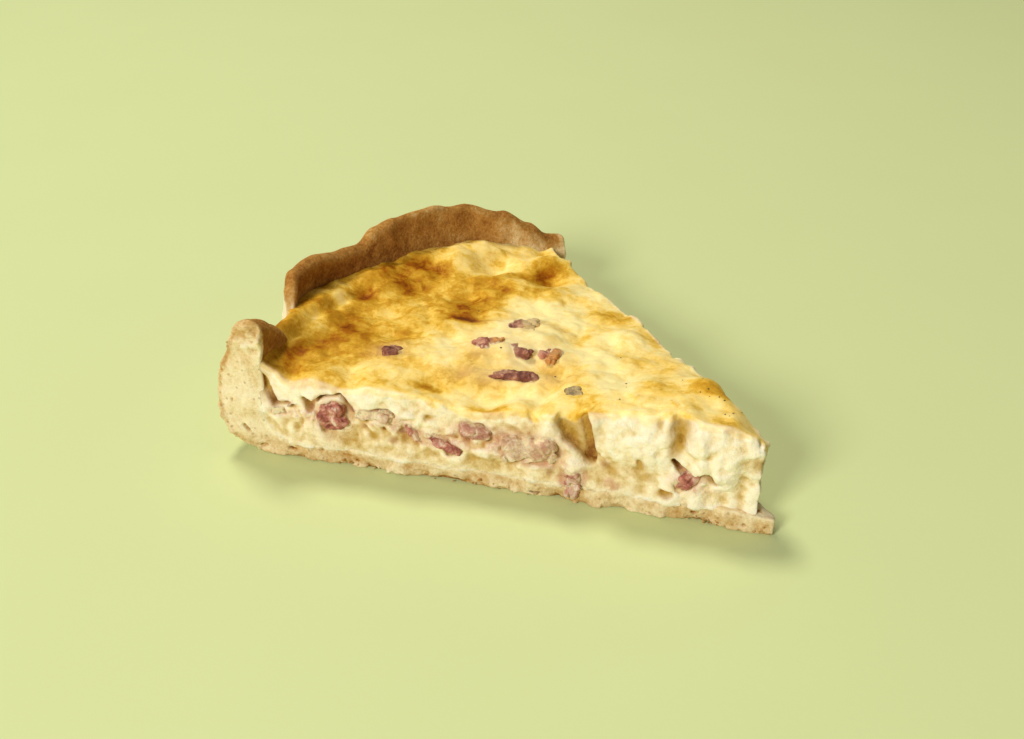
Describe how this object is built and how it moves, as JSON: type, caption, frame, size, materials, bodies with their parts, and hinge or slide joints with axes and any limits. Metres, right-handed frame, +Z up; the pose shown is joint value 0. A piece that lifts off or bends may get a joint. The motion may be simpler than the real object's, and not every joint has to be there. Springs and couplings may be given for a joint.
{
  "type": "quiche slice",
  "caption": "Wedge of baked bacon quiche: shortcrust base and raised wavy rim, browned custard top, and torn cut faces with bacon pieces.",
  "frame": {"origin": "middle of the footprint's box, on the surface the slice stands on", "axes": "+X from the rim towards the tip, along the front cut, which faces -Y; +Z up"},
  "size_m": [0.1404, 0.1106, 0.0388],
  "materials": {
    "pastry": "dry baked shortcrust, sandy and matt, browned on the rim and pale where cut",
    "custard": "soft baked egg custard, slightly glossy yellow top with golden patches, pale cream inside",
    "bacon": "cured cooked bacon, pink to dark red, moist",
    "leek": "soft cooked leek, olive green to brown"
  },
  "bodies": {
    "root": {"crust": "pastry", "filling": "custard", "bacon_cut_1": "bacon", "bacon_cut_2": "bacon", "bacon_cut_3": "bacon", "bacon_cut_4": "bacon", "bacon_cut_5": "bacon", "bacon_cut_6": "bacon", "bacon_cut_7": "bacon", "bacon_cut_8": "bacon", "bacon_cut_9": "bacon", "bacon_top_1": "bacon", "bacon_top_2": "bacon", "bacon_top_3": "bacon", "bacon_top_4": "bacon", "bacon_top_5": "bacon", "bacon_top_6": "bacon", "leek_top": "leek"}
  },
  "joints": []
}
